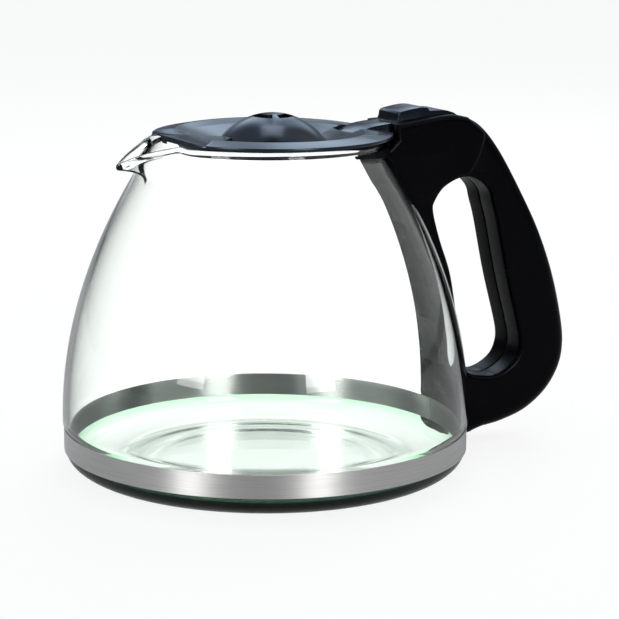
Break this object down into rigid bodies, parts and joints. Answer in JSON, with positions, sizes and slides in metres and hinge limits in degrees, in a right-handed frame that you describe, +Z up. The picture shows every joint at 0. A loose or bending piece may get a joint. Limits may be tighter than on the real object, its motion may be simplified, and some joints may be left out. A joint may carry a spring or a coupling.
{
  "type": "coffee server carafe",
  "caption": "Clear glass coffee server with a pouring beak, steel base band, D-shaped black handle and a hinged lid with a vented dome and thumb lever.",
  "frame": {"origin": "centre of the jug's flat bottom", "axes": "+Z up, +X from the jug's axis towards the handle, the spout along -X, the handle's screw heads on +Y"},
  "size_m": [0.2179, 0.1608, 0.1418],
  "materials": {
    "clear_glass": "clear, faintly green at the thick edges",
    "band_steel": "brushed along its length",
    "fastener_steel": "zinc plated",
    "handle_plastic": "black, satin gloss",
    "lid_plastic": "black, glossy",
    "silicone": "matt"
  },
  "bodies": {
    "server": {"glass_jug": "clear_glass", "base_band": "band_steel", "band_screw": "fastener_steel", "band_washer": "fastener_steel", "band_nut": "fastener_steel", "handle_half_left": "handle_plastic", "handle_half_right": "handle_plastic", "handle_screws": "fastener_steel", "neck_clip": "handle_plastic", "upper_cushion": "silicone", "lower_cushion": "silicone", "hinge_pin": "fastener_steel"},
    "lid": {"lid_plate": "lid_plastic", "lid_dome": "lid_plastic", "drip_guide": "lid_plastic", "thumb_lever": "lid_plastic", "lever_screws": "fastener_steel"}
  },
  "joints": [
    {"name": "lid_hinge", "type": "hinge", "parent": "server", "child": "lid", "pos_m": [0.066, 0, 0.1309], "axis": [0, 1, 0], "range_deg": [0, 70]}
  ]
}
